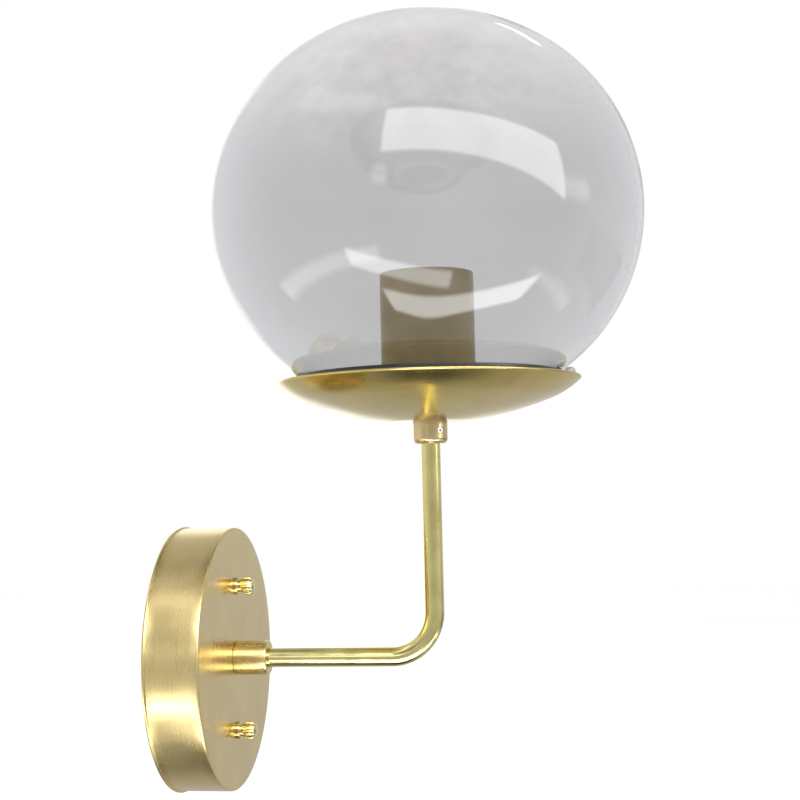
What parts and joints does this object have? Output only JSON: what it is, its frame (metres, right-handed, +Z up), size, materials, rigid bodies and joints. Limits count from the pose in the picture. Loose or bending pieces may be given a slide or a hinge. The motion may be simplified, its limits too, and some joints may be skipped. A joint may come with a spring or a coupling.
{
  "type": "wall_sconce",
  "caption": "Wall sconce with a clear glass globe on a brass dish, carried by a bent tube arm on a round brass wall plate",
  "frame": {"origin": "middle of the crossbar's back, on the wall, at the centre of the round wall plate", "axes": "Z up the wall; the light stands out along -Y, so +Y points into the wall; X along the wall"},
  "size_m": [0.2, 0.218, 0.3556],
  "materials": {
    "satin_brass": "satin brushed",
    "polished_brass": "polished",
    "aged_brass": "dull bronzed",
    "contact_brass": "bright stamped",
    "zinc_steel": "zinc plated",
    "green_screw": "green lacquered",
    "nickel_shell": "nickel plated",
    "porcelain": "glazed white",
    "black_plastic": "moulded",
    "black_rubber": "matte moulded",
    "clear_silicone": "clear",
    "clear_glass": "clear blown",
    "bright_screw": "bright nickel plated"
  },
  "bodies": {
    "wall_bracket": {"crossbar": "zinc_steel", "ground_screw": "green_screw", "mounting_studs": "zinc_steel", "stud_locknuts": "zinc_steel", "backplate": "satin_brass", "arm_nipple": "zinc_steel", "lock_washer": "zinc_steel", "nipple_locknut": "zinc_steel", "nipple_bushing": "black_plastic", "arm_collar": "polished_brass", "arm_tube": "polished_brass"},
    "upper_nut": {"upper_cap_nut": "polished_brass"},
    "lower_nut": {"lower_cap_nut": "polished_brass"},
    "lamp_head": {"holder_collar": "polished_brass", "dish": "satin_brass", "dish_spacer": "aged_brass", "socket_cover": "aged_brass", "lampholder_strap": "zinc_steel", "socket_nipple": "zinc_steel", "socket_locknut": "zinc_steel", "lampholder_body": "porcelain", "strap_screws": "zinc_steel", "terminal_screws": "contact_brass", "screw_shell": "nickel_shell", "centre_contact": "contact_brass", "seat_ring": "black_rubber", "bumper_pad": "clear_silicone"},
    "collar_screw": {"set_screw": "bright_screw"},
    "globe": {"glass_globe": "clear_glass"}
  },
  "joints": [
    {"name": "upper_nut_turn", "type": "hinge", "parent": "wall_bracket", "child": "upper_nut", "pos_m": [0, -0.025, 0.033], "axis": [0, -1, 0], "range_deg": [0, 1530]},
    {"name": "lower_nut_turn", "type": "hinge", "parent": "wall_bracket", "child": "lower_nut", "pos_m": [0, -0.025, -0.033], "axis": [0, -1, 0], "range_deg": [0, 1530]},
    {"name": "head_turn", "type": "hinge", "parent": "wall_bracket", "child": "lamp_head", "pos_m": [0, -0.118, 0.102], "axis": [0, 0, 1], "range_deg": [-170, 170]},
    {"name": "set_screw_turn", "type": "hinge", "parent": "lamp_head", "child": "collar_screw", "pos_m": [-0.00431, -0.12246, 0.1019], "axis": [-0.6947, -0.7193, 0], "range_deg": [0, 765]},
    {"name": "globe_lift", "type": "slide", "parent": "lamp_head", "child": "globe", "axis": [0, 0, 1], "range_m": [0, 0.06]}
  ]
}
